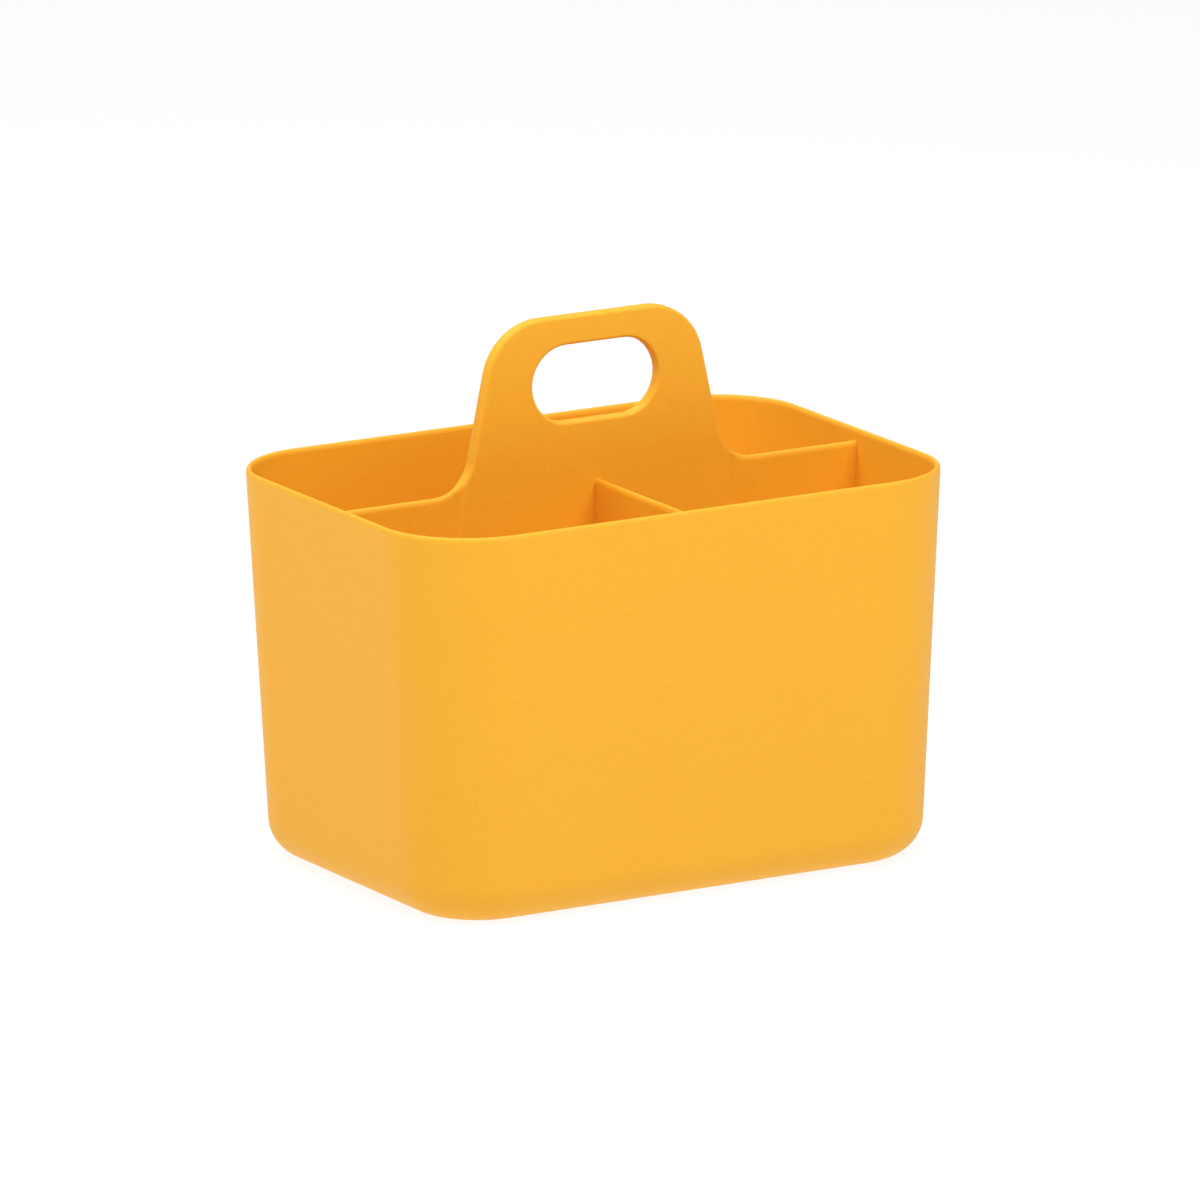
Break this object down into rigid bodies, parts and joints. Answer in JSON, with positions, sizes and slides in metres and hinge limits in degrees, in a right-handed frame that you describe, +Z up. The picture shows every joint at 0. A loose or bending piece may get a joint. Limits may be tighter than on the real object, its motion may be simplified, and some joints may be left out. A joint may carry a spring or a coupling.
{
  "type": "cleaning caddy",
  "caption": "Open tapered plastic carrier with rounded corners, a centre divider that rises into a handle with a hand hole, and a short cross divider in the front half.",
  "frame": {"origin": "centre of the base, on the plane that the caddy stands on", "axes": "+X to the right along the long side, +Y from the front wall to the back wall, +Z up out of the open top"},
  "size_m": [0.234, 0.1686, 0.209],
  "materials": {
    "tub_plastic": "fine matte moulded surface",
    "handle_plastic": "fine matte moulded surface",
    "divider_plastic": "fine matte moulded surface"
  },
  "bodies": {
    "root": {"tub": "tub_plastic", "handle_divider": "handle_plastic", "cross_divider": "divider_plastic"}
  },
  "joints": []
}
